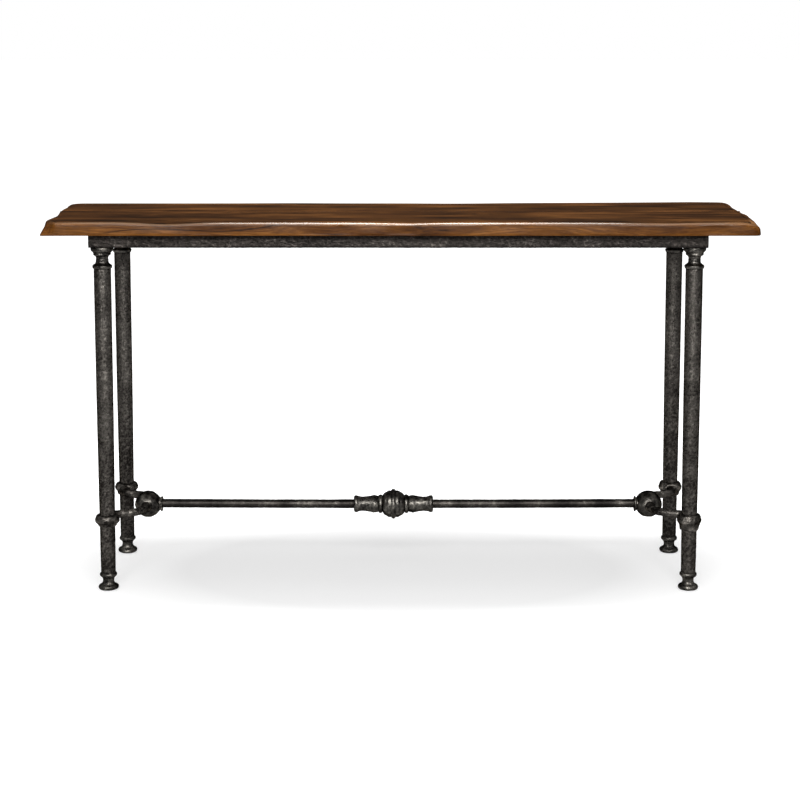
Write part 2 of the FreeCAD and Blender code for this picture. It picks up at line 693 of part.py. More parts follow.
# ------------------------------------------------------------------------------- fasteners
def hex_nut(label, x, y, z):
    blank = doc.addObject("Part::Prism", label + "_blank")
    blank.Polygon = 6
    blank.setExpression("Circumradius", "Sizes.nut_corner_radius")
    blank.setExpression("Height", "Sizes.nut_height")
    bore = doc.addObject("Part::Cylinder", label + "_bore")
    bore.setExpression("Radius", "Sizes.rod_radius")
    bore.setExpression("Height", "Sizes.nut_height")
    nut = doc.addObject("Part::Cut", label)
    nut.Base = blank
    nut.Tool = bore
    return place(nut, x, y, z)


def rod(label, x, y, low, high):
    bar = doc.addObject("Part::Cylinder", label)
    bar.setExpression("Radius", "Sizes.rod_radius")
    bar.setExpression("Height", f"{high} - ({low})")
    return place(bar, x, y, low)


WASHER_BASE = "Sizes.foot_lift + Sizes.nut_pocket_height - Sizes.washer_thickness"
NUT_BASE = f"{WASHER_BASE} - Sizes.nut_height"
WASHER = [
    ("Sizes.rod_hole_radius", "0"),
    ("Sizes.washer_radius", "0"),
    ("Sizes.washer_radius", "Sizes.washer_thickness"),
    ("Sizes.rod_hole_radius", "Sizes.washer_thickness"),
]
ROD_TOP = f"({RAIL_BOTTOM} + Sizes.rail_wall + Sizes.nut_height + 1.5)"
rods, washers, foot_nuts, weld_nuts = [], [], [], []
for corner in CORNERS:
    leg_x, leg_y = leg_place(corner)
    rods.append(rod(f"{corner}_tie_rod", leg_x, leg_y, f"{NUT_BASE} - 1", ROD_TOP))
    washers.append(place(turned(f"{corner}_washer", WASHER), leg_x, leg_y, WASHER_BASE))
    foot_nuts.append(hex_nut(f"{corner}_foot_nut", leg_x, leg_y, NUT_BASE))
    weld_nuts.append(hex_nut(f"{corner}_weld_nut", leg_x, leg_y,
                             f"{RAIL_BOTTOM} + Sizes.rail_wall"))
group("leg_tie_rods", rods)
group("leg_washers", washers)
group("leg_nuts", foot_nuts)
group("rail_weld_nuts", weld_nuts)

SCREW = [
    ("0", "-Sizes.screw_head_height"),
    ("Sizes.screw_head_radius * 0.75", "-Sizes.screw_head_height"),
    ("Sizes.screw_head_radius", "-Sizes.screw_head_height / 3", "bulge",
     "Sizes.screw_head_height"),
    ("Sizes.screw_head_radius", "0"),
    ("Sizes.screw_radius", "0"),
    ("Sizes.screw_radius", "Sizes.screw_length"),
    ("0", "Sizes.screw_length"),
]
SCREW_SEAT = "Sizes.table_height - Sizes.top_thickness - Sizes.rail_wall"
top_screws = []
for number, (across, along) in enumerate(FRONT_SCREWS + REAR_SCREWS + END_SCREWS, start=1):
    top_screws.append(place(turned(f"top_screw_{number}", SCREW), f"Sizes.base_x + {across}",
                            f"Sizes.base_y + {along}", SCREW_SEAT))
group("top_screws", top_screws)

# Socket-head bolts through the balls into the threaded ends of the long bar.
BOLT_END = f"{BALL_FLAT} + {THREAD}"
BOLT_HEAD = f"({POCKET_FLOOR} - Sizes.bolt_head_height)"
BOLT = [
    ("0", f"{BOLT_HEAD} + Sizes.bolt_socket_depth"),
    ("Sizes.bolt_socket_radius", f"{BOLT_HEAD} + Sizes.bolt_socket_depth"),
    ("Sizes.bolt_socket_radius", BOLT_HEAD),
    ("Sizes.bolt_head_radius", BOLT_HEAD),
    ("Sizes.bolt_head_radius", POCKET_FLOOR),
    ("Sizes.rod_radius", POCKET_FLOOR),
    ("Sizes.rod_radius", BOLT_END),
    ("0", BOLT_END),
]
bolts = []
for label, side in SIDES.items():
    bolts.append(place(turned(f"{label}_stretcher_bolt", BOLT),
                       f"Sizes.base_x + {side} * {BALL_LINE}", "Sizes.base_y",
                       "Sizes.stretcher_height", ((0, 1, 0), -90 * side)))
group("stretcher_bolts", bolts)


# ------------------------------------------------------------------------ check and write out
doc.recompute()
for thing in doc.Objects:
    if "Invalid" in thing.State or "Error" in thing.State:
        raise RuntimeError(f"{thing.Label} did not compute: {thing.State}")
for piece in parts:
    if piece.Shape.isNull() or not piece.Shape.isValid():
        raise RuntimeError(f"{piece.Label} has no valid shape")
    if not piece.Shape.Solids:
        raise RuntimeError(f"{piece.Label} holds no solid")

os.makedirs("parts", exist_ok=True)
for piece in parts:
    piece.Shape.exportStep(f"parts/{piece.Label}.step")
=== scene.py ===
import bpy
import numpy as np
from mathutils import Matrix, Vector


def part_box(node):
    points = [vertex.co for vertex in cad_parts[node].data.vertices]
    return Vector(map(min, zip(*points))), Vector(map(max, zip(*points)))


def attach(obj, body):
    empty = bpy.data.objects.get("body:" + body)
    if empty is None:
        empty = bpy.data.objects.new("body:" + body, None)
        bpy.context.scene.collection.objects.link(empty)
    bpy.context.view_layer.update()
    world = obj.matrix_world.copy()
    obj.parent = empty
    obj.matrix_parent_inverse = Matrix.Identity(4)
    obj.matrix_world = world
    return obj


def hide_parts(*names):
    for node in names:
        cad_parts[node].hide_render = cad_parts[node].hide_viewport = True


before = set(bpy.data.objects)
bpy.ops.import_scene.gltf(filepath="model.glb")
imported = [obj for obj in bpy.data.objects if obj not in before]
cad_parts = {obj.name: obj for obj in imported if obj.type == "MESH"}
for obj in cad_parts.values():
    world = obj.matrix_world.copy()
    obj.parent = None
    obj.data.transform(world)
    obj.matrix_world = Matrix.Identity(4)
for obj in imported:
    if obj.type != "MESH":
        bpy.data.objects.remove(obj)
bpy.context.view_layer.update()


# ---------------------------------------------------------------------------- feet
# Cast iron feet, one under each leg: a flattened disc, a tight neck and a ring. They are cast in
# sand from a turned pattern, then blackened and waxed, so every edge is soft and a little lumpy.
CORNERS = {"front_left": (-1, -1), "front_right": (1, -1), "rear_left": (-1, 1), "rear_right": (1, 1)}
MM = 0.001


def where(node):
    """The low and high corner of a CAD node, in millimetres."""
    low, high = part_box(node)
    return np.array(low) / MM, np.array(high) / MM


def floor_point(node):
    """The point on the floor under the middle of a CAD node."""
    low, high = where(node)
    return np.array([(low[0] + high[0]) / 2, (low[1] + high[1]) / 2, 0])


def chance(cells, seed):
    """A fixed number from 0 to 1 for each cell of a grid: its whole-numbered place and the seed,
    mixed by large odd factors until no order is left."""
    i, j, k = (cells[..., n].astype(np.int64) for n in range(3))
    mixed = (i * 73856093) ^ (j * 19349663) ^ (k * 83492791) ^ (seed * 961748927)
    mixed = ((mixed ^ (mixed >> 13)) * 1274126177) & 0xFFFFFFFF
    mixed = ((mixed ^ (mixed >> 15)) * 668265263) & 0xFFFFFFFF
    return ((mixed ^ (mixed >> 16)) & 0xFFFFFF) / 0x1000000


def swells(points, size, seed):
    """Smooth lumps from -1 to 1, about one size apart: the fixed chances at the eight corners
    of each cell, blended by the S-curve of the place within it."""
    scaled = points / size
    cell = np.floor(scaled)
    part = scaled - cell
    part = part * part * (3 - 2 * part)
    total = 0
    for corner in np.ndindex(2, 2, 2):
        share = np.prod(np.where(np.array(corner) == 1, part, 1 - part), axis=-1)
        total = total + share * chance(cell + corner, seed)
    return 2 * total - 1


def dents(points, size, seed):
    """Round hollows with sharp ridges between them, 0 at the bottom and 1 on a ridge: the
    squared distance to the nearest of the marks, of which each cell of the size holds one."""
    scaled = points / size
    cell = np.floor(scaled)
    nearest = np.ones(points.shape[:-1])
    for step in np.ndindex(3, 3, 3):
        around = cell + step - 1
        mark = around + np.stack([chance(around, seed + n) for n in (1, 2, 3)], axis=-1)
        nearest = np.minimum(nearest, ((scaled - mark) ** 2).sum(axis=-1))
    return nearest


def evenly(path, spacing):
    """The same line with its points the spacing apart, measured along it."""
    path = np.asarray(path, float)
    run = np.concatenate([[0], np.cumsum(np.linalg.norm(np.diff(path, axis=0), axis=1))])
    stops = np.linspace(0, run[-1], max(int(round(run[-1] / spacing)), 4) + 1)
    return np.stack([np.interp(stops, run, path[:, n]) for n in range(path.shape[1])], axis=1)


ARC_STEPS = 32


def half_profile(steps, spacing, soften):
    """The outline of a turned piece from axis to axis, as (radius, height) points. Each step is
    (radius, height, bow): the way to it is a circular arc that bows out of the piece by that
    much, or into it below zero. The softening passes then round every corner a little."""
    line = [np.array(steps[0][:2], float)[None]]
    part = np.linspace(-1, 1, ARC_STEPS + 1)[1:, None]
    for start, end in zip(steps, steps[1:]):
        first, last = np.array(start[:2], float), np.array(end[:2], float)
        along = last - first
        out = np.array([along[1], -along[0]])
        turn = 2 * np.arctan2(2 * end[2], np.linalg.norm(along))
        if abs(turn) < 1e-4:
            line.append(first + along * (part + 1) / 2)
        else:
            reach = 1 / (2 * np.sin(turn))
            line.append((first + last) / 2 + along * reach * np.sin(turn * part)
                        + out * reach * (np.cos(turn * part) - np.cos(turn)))
    line = evenly(np.concatenate(line), spacing)
    for _ in range(soften):
        line[1:-1] = (line[:-2] + 2 * line[1:-1] + line[2:]) / 4
    return line


def turned(profile, centre, columns, axis=(0, 0, 1)):
    """A turned skin: every point of the profile goes round the axis through the centre."""
    axis = np.array(axis, float)
    side = np.array((0.0, 1.0, 0.0) if abs(axis[1]) < 0.5 else (1.0, 0.0, 0.0))
    angle = np.linspace(0, 2 * np.pi, columns, endpoint=False)[None, :, None]
    spoke = np.cos(angle) * side + np.sin(angle) * np.cross(axis, side)
    radius, height = profile[:, 0, None, None], profile[:, 1, None, None]
    return np.asarray(centre, float) + height * axis + radius * spoke


def outwards(grid):
    """Unit normals of a closed skin: across the columns, crossed with along the rows."""
    around = np.roll(grid, -1, axis=1) - np.roll(grid, 1, axis=1)
    normal = np.cross(around, np.gradient(grid, axis=0))
    return normal / np.maximum(np.linalg.norm(normal, axis=-1, keepdims=True), 1e-9)


MEAN_DENT = 0.4     # about the mean height of dents, taken off so that they don't fatten a piece


def worked(grid, marks, seed):
    """Iron that has been worked: each mark (kind, size, depth) raises or sinks the skin along
    its normals. Returns the new skin and how high each point stands, for the wear."""
    height = np.zeros(grid.shape[:-1])
    for number, (kind, size, depth) in enumerate(marks):
        level = MEAN_DENT if kind is dents else 0
        height = height + depth * (kind(grid, size, seed + 10 * number) - level)
    spread = max(np.ptp(height), 1e-9)
    return grid + outwards(grid) * height[..., None], (height - height.min()) / spread


def solid(name, material, slot, replaced, places, faces, **attributes):
    """Makes one object from points in millimetres and the faces between them, in place of the
    CAD nodes replaced. Each attribute is a number at every point, for the material to read."""
    mesh = bpy.data.meshes.new(name)
    mesh.from_pydata(places * MM, [], faces)
    mesh.shade_smooth()
    mesh.materials.append(material)
    for attribute, values in attributes.items():
        mesh.attributes.new(attribute, "FLOAT", "POINT").data.foreach_set("value", values)
    piece = bpy.data.objects.new(name, mesh)
    bpy.context.scene.collection.objects.link(piece)
    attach(piece, "root")
    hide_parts(*replaced)


def skin(name, material, slot, replaced, *pieces):
    """Makes one object of closed skins. In each (grid, worn), rows run along the piece and
    columns round it, and each end row closes on a point at its middle."""
    places, faces, wear, base = [], [], [], 0
    for grid, worn in pieces:
        rows, columns = grid.shape[:2]
        index = base + np.arange(rows * columns).reshape(rows, columns)
        after = np.roll(index, -1, axis=1)
        quads = np.stack([index[:-1], after[:-1], after[1:], index[1:]], axis=-1).reshape(-1, 4)
        poles = base + rows * columns
        first = np.stack([np.full(columns, poles), after[0], index[0]], axis=-1)
        last = np.stack([np.full(columns, poles + 1), index[-1], after[-1]], axis=-1)
        places += [grid.reshape(-1, 3), grid[0].mean(axis=0)[None], grid[-1].mean(axis=0)[None]]
        wear += [worn.ravel(), worn[[0, -1]].mean(axis=1)]
        faces += quads.tolist() + first.tolist() + last.tolist()
        base = poles + 2
    solid(name, material, slot, replaced, np.concatenate(places), faces, worn=np.concatenate(wear))


def linear(hex_colour):
    """The linear colour, with an alpha of 1, that a six-figure sRGB hex colour stands for."""
    parts = np.array([int(hex_colour[n:n + 2], 16) / 255 for n in (0, 2, 4)])
    return (*np.where(parts <= 0.04045, parts / 12.92, ((parts + 0.055) / 1.055) ** 2.4), 1.0)


def add(material, kind, inputs=(), stops=(), **settings):
    """Adds one node: settings are its own properties, inputs are values or links by socket name
    or number, and stops are the places and hex colours of a colour ramp."""
    made = material.node_tree.nodes.new("ShaderNode" + kind)
    for name, setting in settings.items():
        setattr(made, name, setting)
    for socket, given in dict(inputs).items():
        if isinstance(given, bpy.types.NodeSocket):
            material.node_tree.links.new(given, made.inputs[socket])
        else:
            made.inputs[socket].default_value = given
    for number, (place, hex_colour) in enumerate(stops):
        ramp = made.color_ramp.elements
        stop = ramp[number] if number < 2 else ramp.new(place)
        stop.position = place
        stop.color = linear(hex_colour)
    return made


def finish(name):
    """An empty material with its output, and the object's own coordinates in metres."""
    material = bpy.data.materials.new(name)
    material.use_nodes = True
    material.node_tree.nodes.clear()
    output = add(material, "OutputMaterial")
    coordinates = add(material, "TexCoord").outputs["Object"]
    return material, output, coordinates


PATCH = 30          # millimetres across the slow patches in the blacking


def blackened(name, low, middle, high, roughness, grain, depth, patchy=0.25):
    """Iron blackened with hot oil and waxed: brown-black in the hollows, polished grey on the high
    spots, and darker where a skin adds painted shade to its attribute. The grain is the size of its
    scale in millimetres, depth that of its bump, and patchy the strength of the slow drift in tone."""
    material, output, coordinates = finish(name)
    # the attribute holds the high spots' wear and, on the leg tubes and rails, painted shade
    height = add(material, "Attribute", attribute_name="worn").outputs["Fac"]
    patches = add(material, "TexNoise", {"Vector": coordinates, "Scale": 1000 / PATCH, "Detail": 3.0})
    scale = add(material, "TexNoise", {"Vector": coordinates, "Scale": 1000 / grain, "Detail": 4.0,
                                       "Roughness": 0.6})
    drift = add(material, "Math", {0: patches.outputs["Fac"], 1: patchy, 2: scale.outputs["Fac"]},
                operation="MULTIPLY_ADD").outputs[0]
    darkest = -0.09 - 0.28 * patchy
    tone = add(material, "Math", {0: height, 1: 0.6, 2: darkest},
               operation="MULTIPLY_ADD").outputs[0]
    tone = add(material, "Math", {0: drift, 1: 0.55, 2: tone}, operation="MULTIPLY_ADD").outputs[0]
    colour = add(material, "ValToRGB", {"Fac": tone}, [(0.25, low), (0.85, high), (0.55, middle)])
    gloss = add(material, "MapRange", {"Value": drift, "From Min": 0.4, "From Max": 0.85,
                                       "To Min": roughness - 0.08, "To Max": roughness + 0.1})
    bump = add(material, "Bump", {"Height": scale.outputs["Fac"], "Distance": depth * MM,
                                  "Strength": 1.0})
    shader = add(material, "BsdfPrincipled", {
        "Base Color": colour.outputs["Color"], "Roughness": gloss.outputs["Result"],
        "Normal": bump.outputs["Normal"], "Metallic": 1.0,
        "Specular Tint": linear("7a756e")})
    material.node_tree.links.new(shader.outputs["BSDF"], output.inputs["Surface"])
    return material


cast_iron = blackened("Blackened_cast_iron", "262423", "625f5a", "9c978f", 0.32, 2.2, 0.5)
CAST_MARKS = [(swells, 14, 0.35), (dents, 6.5, 0.5), (swells, 3, 0.15)]
FOOT = [
    # radius, height above the floor, bow of the way there
    (0, 1.0, 0),
    (18.0, 1.0, 0),
    (22.0, 5.0, 1.0),       # toe of the disc
    (18.4, 11.0, 1.3),      # its top, rolling in
    (15.8, 12.2, 0),        # a small step
    (12.3, 21.5, -1.2),     # neck
    (16.4, 29.6, -1.2),     # flare under the ring
    (16.6, 38.2, 2.4),      # ring
    (15.4, 39.2, 0),
    (0, 39.2, 0),
]
SOLE = 0.6          # the castings stay this far off the floor, on their glides
for number, corner in enumerate(CORNERS):
    stand = floor_point(corner + "_foot")
    cast, worn = worked(turned(half_profile(FOOT, 0.7, 2), stand, 88), CAST_MARKS, 100 + number)
    cast[..., 2] = np.maximum(cast[..., 2], SOLE)
    skin(corner + "_foot_casting", cast_iron, "cast_iron", [corner + "_foot"], (cast, worn))

# ---------------------------------------------------------------------------- glides
# A nylon glide is pressed into each foot and stands 1 mm proud of it. Moulded nylon is off-white
# and faintly translucent, with a fine spark-eroded grain.
nylon, output, coordinates = finish("Moulded_nylon")
grain = add(nylon, "TexNoise", {"Vector": coordinates, "Scale": 1000 / 1.2, "Detail": 2.0})
colour = add(nylon, "ValToRGB", {"Fac": grain.outputs["Fac"]}, [(0.3, "c9c4b6"), (0.7, "d8d4c8")])
bump = add(nylon, "Bump", {"Height": grain.outputs["Fac"], "Distance": 0.05 * MM})
shader = add(nylon, "BsdfPrincipled", {"Base Color": colour.outputs["Color"], "Roughness": 0.45,
                                       "IOR": 1.53, "Normal": bump.outputs["Normal"]})
nylon.node_tree.links.new(shader.outputs["BSDF"], output.inputs["Surface"])
for corner in CORNERS:
    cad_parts[corner + "_glide"].data.materials.clear()
    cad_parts[corner + "_glide"].data.materials.append(nylon)

# ---------------------------------------------------------------------------- columns
# The legs proper: steel tube, dressed all over with a ball hammer and drawn slightly thinner
# towards the foot, then blackened like the castings; painted shade darkens them low down.
hammered_steel = blackened("Hammered_blackened_steel", "272422", "64605b", "9c968e", 0.34, 2.0, 0.6,
                           0.1)
TUBE_MARKS = [(swells, 30, 0.1), (dents, 5, 0.3), (swells, 3, 0.15)]
COLUMN = [
    # radius, height above the floor, bow of the way there
    (0, 38.5, 0),
    (15.9, 38.5, 0),
    (17.3, 210, 0),
    (18.2, 425, 0),
    (18.5, 709, 0),
    (0, 709, 0),
]
SHADE_BELOW, SHADE_FADE = 480, 250      # painted shade darkens the tube below this height, fading in over this length
for number, corner in enumerate(CORNERS):
    stand = floor_point(corner + "_column")
    tube, worn = worked(turned(half_profile(COLUMN, 1.9, 0), stand, 56), TUBE_MARKS, 200 + number)
    # painted shade: the tube is painted darker towards the foot
    worn = worn - 0.15 * np.clip((SHADE_BELOW - tube[..., 2]) / SHADE_FADE, 0, 1)
    skin(corner + "_column_tube", hammered_steel, "hammered_steel", [corner + "_column"],
         (tube, worn))

# ---------------------------------------------------------------------------- capitals
# Cast iron capitals under the rails: a round cushion plate, a hollow bell, a tight neck and a
# ring that sits on the tube. Same sand casting and finish as the feet.
CAPITAL = [
    # radius, height above the tube's top, bow of the way there
    (0, 0, 0),
    (18.6, 0, 0),
    (20.6, 3.2, 0.9),       # ring, lower half
    (20.0, 7.6, 1.0),       # ring, upper half
    (18.0, 9.2, 0),         # step over the ring
    (13.7, 19.0, -2.0),     # neck
    (16.4, 28.2, -1.8),     # bell
    (18.7, 30.2, 0.5),      # small moulding
    (19.0, 32.6, 0.5),
    (18.2, 33.6, 0),        # groove
    (20.6, 36.4, 0.5),      # cushion
    (23.4, 38.9, 0.6),
    (24.2, 40.6, 0.3),
    (24.2, 46.2, 0.3),      # plate
    (0, 46.3, 0),
]
for number, corner in enumerate(CORNERS):
    seat = floor_point(corner + "_capital")
    seat[2] = where(corner + "_column")[1][2]
    cast = worked(turned(half_profile(CAPITAL, 0.6, 2), seat, 96), CAST_MARKS, 300 + number)
    skin(corner + "_capital_casting", cast_iron, "cast_iron", [corner + "_capital"], cast)

# ---------------------------------------------------------------------------- collars
# Forged collars shrunk on to the legs to carry the stretcher: a short taper below a rounded
# shoulder. Each was hammered by hand, so no two reach the same height.
forged_iron = blackened("Forged_blackened_iron", "282523", "65615c", "b3aca3", 0.31, 2.4, 0.8, 0.2)
FORGED_MARKS = [(swells, 22, 0.7), (dents, 10, 1.3), (swells, 4, 0.2)]
# the heights of each one's lower and upper end
COLLAR_REACH = {"front_left": (143, 168), "front_right": (134, 169),
                "rear_left": (140, 167), "rear_right": (138, 169)}
for number, corner in enumerate(CORNERS):
    stand = floor_point(corner + "_collar")
    bottom, top = COLLAR_REACH[corner]
    steps = [
        # radius, height above the floor, bow of the way there
        (0, bottom, 0),
        (18.6, bottom, 0),
        (20.4, bottom + 1.5, 0.5),  # lip
        (24.6, 151, -0.6),          # taper
        (26.4, 156, 0.9),           # shoulder
        (25.4, 161, 0.9),
        (20.2, top, 1.6),           # dome
        (0, top, 0),
    ]
    forged = worked(turned(half_profile(steps, 0.9, 2), stand, 110), FORGED_MARKS, 400 + number)
    skin(corner + "_forged_collar", forged_iron, "forged_iron", [corner + "_collar"], forged)

# ---------------------------------------------------------------------------- balls
# A solid ball at the middle of each end gathers the two arms and the long bar. It is a casting
# rounded off with a hammer, which leaves broad flat dimples.
BALL_MARKS = [(swells, 25, 0.4), (dents, 12, 1.2), (swells, 4, 0.2)]
BALL = [(0, -29.9, 0), (29.9, 0, 8.76), (0, 29.9, 8.76)]    # two quarter circles
BALL_INSET = 70                         # from the legs' axis to the ball's middle
SIDES = {"left": -1, "right": 1}
balls = {}
for number, (side, way) in enumerate(SIDES.items()):
    low, high = where(side + "_ball")
    balls[side] = (low + high) / 2
    balls[side][0] = floor_point("front_" + side + "_column")[0] - way * BALL_INSET
    cast = worked(turned(half_profile(BALL, 0.9, 0), balls[side], 110, (-way, 0, 0)),
                  BALL_MARKS, 500 + number)
    skin(side + "_cast_ball", cast_iron, "cast_iron", [side + "_ball"], cast)

# ---------------------------------------------------------------------------- arms
# Round bar bent cold in plan to an S, from each collar to its ball. The smith swelled both ends
# before welding them in, and the weld is hammered over.
BEND = 61
ARM_RUNS = [
    # length in millimetres, turn in degrees along it
    (24, 0),
    (18 * np.radians(BEND), BEND),      # a bend of 18 mm radius
    (22.4, 0),
    (42 * np.radians(BEND), -BEND),     # and one of 42 mm, back again
    (26, 0),
]
ARM_RADIUS = 8.8
ARM_START, ARM_END = 14.0, 18.0         # from the leg's axis, and from the ball's middle


def bent_line(runs, spacing):
    """A line bent in a plane, as (across, along) points and its length so far: the heading grows
    evenly within each run, and the line is the sum of its short steps."""
    lengths = [length for length, turn in runs]
    ends = np.concatenate([[0], np.cumsum(lengths)])
    headings = np.concatenate([[0], np.cumsum([np.radians(turn) for length, turn in runs])])
    run = np.arange(0, ends[-1], spacing)
    heading = np.interp(run, ends, headings)
    steps = np.stack([np.sin(heading), np.cos(heading)], axis=1) * spacing
    return np.concatenate([[[0, 0]], np.cumsum(steps, axis=0)[:-1]]), run


def carried(line, radius, columns):
    """A round section carried along a line of points: at each the ring lies across the line's
    own direction, level sideways and upright."""
    ahead = np.gradient(line, axis=0)
    ahead /= np.linalg.norm(ahead, axis=1, keepdims=True)
    beside = np.cross(ahead, (0.0, 0.0, 1.0))
    beside /= np.linalg.norm(beside, axis=1, keepdims=True)
    over = np.cross(beside, ahead)
    angle = np.linspace(0, 2 * np.pi, columns, endpoint=False)[None, :, None]
    ring = np.cos(angle) * beside[:, None] - np.sin(angle) * over[:, None]
    return line[:, None] + radius[:, None, None] * ring[:, ::-1]


def hump(place, middle, width):
    """A smooth hump, 1 high: e to the power of minus the squared distance from its middle, in
    widths."""
    return np.exp(-((place - middle) / width) ** 2)


plan, run = bent_line(ARM_RUNS, 1.2)
swelling = 3.4 * hump(run, 12, 9) + 4.2 * hump(run, run[-1] - 4, 13)
for number, (corner, (across, along)) in enumerate(CORNERS.items()):
    leg = floor_point(corner + "_column")
    ball = balls["left" if across < 0 else "right"]
    line = np.stack([leg[0] - across * plan[:, 0], leg[1] - along * (ARM_START + plan[:, 1]),
                     np.full(len(run), ball[2])], axis=1)
    end = ball + np.array([0, along * ARM_END, 0])
    # what is left to the ball is made up evenly, over all but the two ends of the arm
    line[:, :2] += (end - line[-1])[:2] * np.clip((run / run[-1] - 0.1) / 0.8, 0, 1)[:, None]
    forged = worked(carried(line, ARM_RADIUS + swelling, 48), FORGED_MARKS, 600 + number)
    skin(corner + "_forged_arm", forged_iron, "forged_iron", [corner + "_arm"], forged)

# ---------------------------------------------------------------------------- bosses
# Where the long bar meets each ball there is a short neck and a thin collar, forged in one.
BOSS = [
    # radius, distance from the boss's outer end, bow of the way there
    (0, -3, 0),
    (14.4, -3, 0),
    (14.7, 2.2, 0),         # neck
    (14.9, 2.8, 0),
    (17.0, 3.2, 0.2),
    (17.2, 5.6, 0.3),       # collar
    (15.6, 6.4, 0.2),
    (0, 6.6, 0),
]
BOSS_MARKS = [(swells, 12, 0.3), (dents, 6, 0.4)]
for number, (side, way) in enumerate(SIDES.items()):
    low, high = where(side + "_boss")
    seat = np.array([low[0] if way < 0 else high[0], balls[side][1], balls[side][2]])
    forged = worked(turned(half_profile(BOSS, 0.5, 1), seat, 90, (-way, 0, 0)), BOSS_MARKS,
                    700 + number)
    skin(side + "_forged_boss", forged_iron, "forged_iron", [side + "_boss"], forged)

# ---------------------------------------------------------------------------- long bar
# One round bar, forged down to 20 mm and left with its hammer marks. It sags a millimetre and a
# half in the middle under the turned ornament.
BAR_RADIUS = 9.8
BAR_MARKS = [(swells, 26, 0.55), (dents, 8, 0.5), (swells, 3.5, 0.15)]
SAG = 1.4
start, end = where("left_boss")[0][0] + 1, where("right_boss")[1][0] - 1
run = np.arange(start, end, 2.3)
share = (run - start) / (end - start)
lift = -SAG * 4 * share * (1 - share) + SAG * 0.75
bar_line = np.stack([run, np.full(len(run), balls["left"][1]), balls["left"][2] + lift], axis=1)
bar = worked(carried(bar_line, np.full(len(run), BAR_RADIUS), 44), BAR_MARKS, 800)
drawn_bar = blackened("Drawn_blackened_bar", "1c1a19", "393633", "68635e", 0.38, 2.6, 0.7, 0.3)
skin("stretcher_forged_bar", drawn_bar, "forged_iron", ["stretcher_bar"], bar)

# ---------------------------------------------------------------------------- ornament
# A turned knop threaded on the middle of the bar: a banded orb, a bead each side, and a baluster
# out to each end. The pieces are castings, run on to the bar and peened.
KNOP_DROP = 0.2         # it hangs this far below the balls, with the bar's sag
middle = floor_point("orb_band")
middle[1:] = balls["left"][1], balls["left"][2] - KNOP_DROP
# each step is the radius, the distance from the knop's middle and the bow of the way there
BAND = [(0, -5.2, 0), (30.2, -5.2, 0), (31.4, -4.4, 0.1), (31.2, -3.4, 0), (33.0, -2.4, 0.4),
        (33.0, 2.4, 0.5), (31.2, 3.4, 0.4), (31.4, 4.4, 0), (30.2, 5.2, 0.1), (0, 5.2, 0)]
BAND_MARKS = [(swells, 12, 0.3), (dents, 5, 0.4)]
cast = worked(turned(half_profile(BAND, 0.5, 1), middle, 120, (1, 0, 0)), BAND_MARKS, 900)
skin("orb_cast_band", cast_iron, "cast_iron", ["orb_band"], cast)
KNOP_MARKS = [(swells, 14, 0.35), (dents, 7, 0.6), (swells, 3, 0.12)]
KNOP = {
    "orb_half": [(0, 3, 0), (29.6, 4.6, 0), (29.9, 6.6, 0.1), (26.8, 15.5, 1.3), (19.0, 24.4, 1.6),
                 (0, 24.6, 0)],
    "bead": [(0, 23.6, 0), (17.6, 23.8, 0), (17.6, 34.2, 3.7), (0, 34.4, 0)],
    "baluster": [(0, 33, 0), (17.2, 33.6, 0), (19.9, 46, 0.9), (16.1, 68, -0.7), (17.6, 79.6, -0.5),
                 (18.2, 81.0, 0), (19.0, 83.8, 0.3), (17.9, 88.2, 0.5), (10.4, 88.9, 0.8), (0, 89, 0)],
}
for number, (side, way) in enumerate(SIDES.items()):
    for order, (name, steps) in enumerate(KNOP.items()):
        cast = worked(turned(half_profile(steps, 0.7, 1), middle, 100, (way, 0, 0)), KNOP_MARKS,
                      910 + 5 * number + order)
        skin(f"{side}_cast_{name}", cast_iron, "cast_iron", [f"{side}_{name}"], cast)

# ---------------------------------------------------------------------------- rails
# The frame under the top is rectangular steel tube, 51 by 32 mm: the short rails are butted
# between the long ones and welded. The faces were textured in a press with small close marks,
# and the edges stay crisp.


def tube_section(width, height, corner, spacing):
    """Points round a rectangle with rounded corners, the spacing apart, anticlockwise."""
    angle = np.linspace(0, np.pi / 2, 7)
    line = []
    for quarter, (x, y) in enumerate([(1, 1), (-1, 1), (-1, -1), (1, -1)]):
        turn = angle + quarter * np.pi / 2
        line.append(np.stack([x * (width / 2 - corner) + corner * np.cos(turn),
                              y * (height / 2 - corner) + corner * np.sin(turn)], axis=1))
    line = np.concatenate(line + [line[0][:1]])
    return evenly(line, spacing)[:-1]


pressed_steel = blackened("Pressed_blackened_steel", "1d1b1a", "3f3b38", "7b746e", 0.36, 2.2, 0.7,
                          0.06)
PRESS_MARKS = [(swells, 40, 0.2), (dents, 5.5, 0.75), (swells, 3, 0.2)]
RAIL_CORNER = 3.4       # radius of the tube's edges
RAIL_SLACK = 0.6        # so much thinner than the CAD tube, for the marks to stand in
RECESS = 1.6            # depth of the end plates' seat
SHADE_DEPTH = 6.5       # painted shade darkens the rail this far below its top, under the boards
